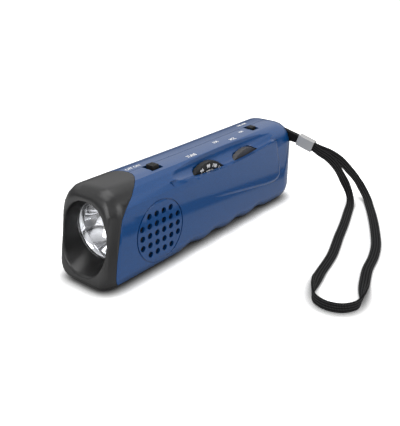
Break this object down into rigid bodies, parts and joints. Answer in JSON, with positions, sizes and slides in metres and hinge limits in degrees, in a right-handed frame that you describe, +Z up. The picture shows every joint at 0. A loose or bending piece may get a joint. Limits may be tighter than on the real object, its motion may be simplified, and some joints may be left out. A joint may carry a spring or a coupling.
{
  "type": "hand crank flashlight",
  "caption": "Blue hand crank flashlight with a radio: black lamp head, speaker grille, two thumbwheels, slide switches, folding crank knob and wrist strap",
  "frame": {"origin": "middle of the bounding box of the flashlight without its strap, at the underside that it lies on", "axes": "+X from the lamp to the rear end, +Y to the side of the crank, +Z up"},
  "size_m": [0.2168, 0.1618, 0.0571],
  "materials": {
    "blue_body": "gloss",
    "black_head": "satin",
    "black_plastic": "satin",
    "grey_plastic": "satin",
    "white_plastic": "satin",
    "clear_lens": "clear",
    "chrome_reflector": "mirror",
    "circuit_board": "satin",
    "speaker_cloth": "woven",
    "plain_steel": "plated",
    "brass_parts": "turned",
    "dark_ferrite": "matt",
    "copper_wire": "enamelled",
    "cell_sleeve": "shrunk sleeve",
    "bright_crimp": "bright",
    "strap_fabric": "woven"
  },
  "bodies": {
    "housing": {"left_shell": "blue_body", "right_shell": "blue_body", "lamp_head": "black_head", "lens": "clear_lens", "reflector": "chrome_reflector", "led_lamp": "white_plastic", "lamp_board": "circuit_board", "lamp_holder": "grey_plastic", "speaker_cloth": "speaker_cloth", "speaker_frame": "plain_steel", "speaker_cone": "speaker_cloth", "speaker_magnet": "plain_steel", "light_switch_body": "grey_plastic", "band_switch_body": "grey_plastic", "main_board": "circuit_board", "tuning_capacitor": "white_plastic", "volume_control": "grey_plastic", "ferrite_rod": "dark_ferrite", "aerial_coil": "copper_wire", "gearbox_frame": "white_plastic", "gearbox_cover": "white_plastic", "idler_axle": "plain_steel", "stator_coil": "copper_wire", "battery_tray": "black_plastic", "crank_bush": "brass_parts", "strap_pin": "plain_steel", "strap_loop": "strap_fabric", "strap_crimp": "bright_crimp", "strap_band": "strap_fabric", "housing_screw_1": "plain_steel", "housing_screw_2": "plain_steel", "housing_screw_3": "plain_steel", "housing_screw_4": "plain_steel", "battery_cell_1": "cell_sleeve", "battery_cell_2": "cell_sleeve", "battery_cell_3": "cell_sleeve"},
    "crank": {"crank_arm": "black_plastic", "crank_axle": "plain_steel", "crank_screw": "plain_steel", "drive_gear": "white_plastic", "knob_pin": "plain_steel"},
    "idler": {"idler_gear": "white_plastic"},
    "rotor": {"rotor_pinion": "brass_parts", "rotor_magnet": "dark_ferrite", "rotor_axle": "plain_steel"},
    "knob_stem": {"knob_post": "plain_steel"},
    "knob": {"knob_grip": "black_plastic"},
    "tuning_dial": {"tuning_wheel": "black_plastic", "tuning_wheel_screw": "plain_steel"},
    "volume_dial": {"volume_wheel": "grey_plastic", "volume_wheel_screw": "plain_steel"},
    "light_switch": {"light_slider": "black_plastic"},
    "band_switch": {"band_slider": "black_plastic"}
  },
  "joints": [
    {"name": "crank_spin", "type": "hinge", "parent": "housing", "child": "crank", "pos_m": [0.02549, 0.0162, 0.0265], "axis": [0, 1, 0], "continuous": true},
    {"name": "idler_turn", "type": "hinge", "parent": "housing", "child": "idler", "pos_m": [0.00549, 0.0065, 0.0265], "axis": [0, 1, 0], "continuous": true},
    {"name": "rotor_turn", "type": "hinge", "parent": "housing", "child": "rotor", "pos_m": [-0.0135, 0.0065, 0.0265], "axis": [0, 1, 0], "continuous": true},
    {"name": "knob_fold", "type": "hinge", "parent": "crank", "child": "knob_stem", "pos_m": [-0.02915, 0.0218, 0.0265], "axis": [0, 0, 1], "range_deg": [0, 90]},
    {"name": "knob_spin", "type": "hinge", "parent": "knob_stem", "child": "knob", "pos_m": [-0.014, 0.0218, 0.0265], "axis": [1, 0, 0], "continuous": true},
    {"name": "tuning_turn", "type": "hinge", "parent": "housing", "child": "tuning_dial", "pos_m": [-0.0035, -0.0229, 0.0325], "axis": [0, 1, 0], "range_deg": [-140, 140]},
    {"name": "volume_turn", "type": "hinge", "parent": "housing", "child": "volume_dial", "pos_m": [0.0365, -0.0229, 0.0309], "axis": [0, 1, 0], "range_deg": [0, 270]},
    {"name": "light_slide", "type": "slide", "parent": "housing", "child": "light_switch", "axis": [1, 0, 0], "range_m": [-0.0019, 0.0019]},
    {"name": "band_slide", "type": "slide", "parent": "housing", "child": "band_switch", "axis": [0, 1, 0], "range_m": [-0.0019, 0.0019]}
  ],
  "couplings": [
    {"joint": "idler_turn", "follows": "crank_spin", "ratio": -3},
    {"joint": "rotor_turn", "follows": "crank_spin", "ratio": 8.4}
  ]
}
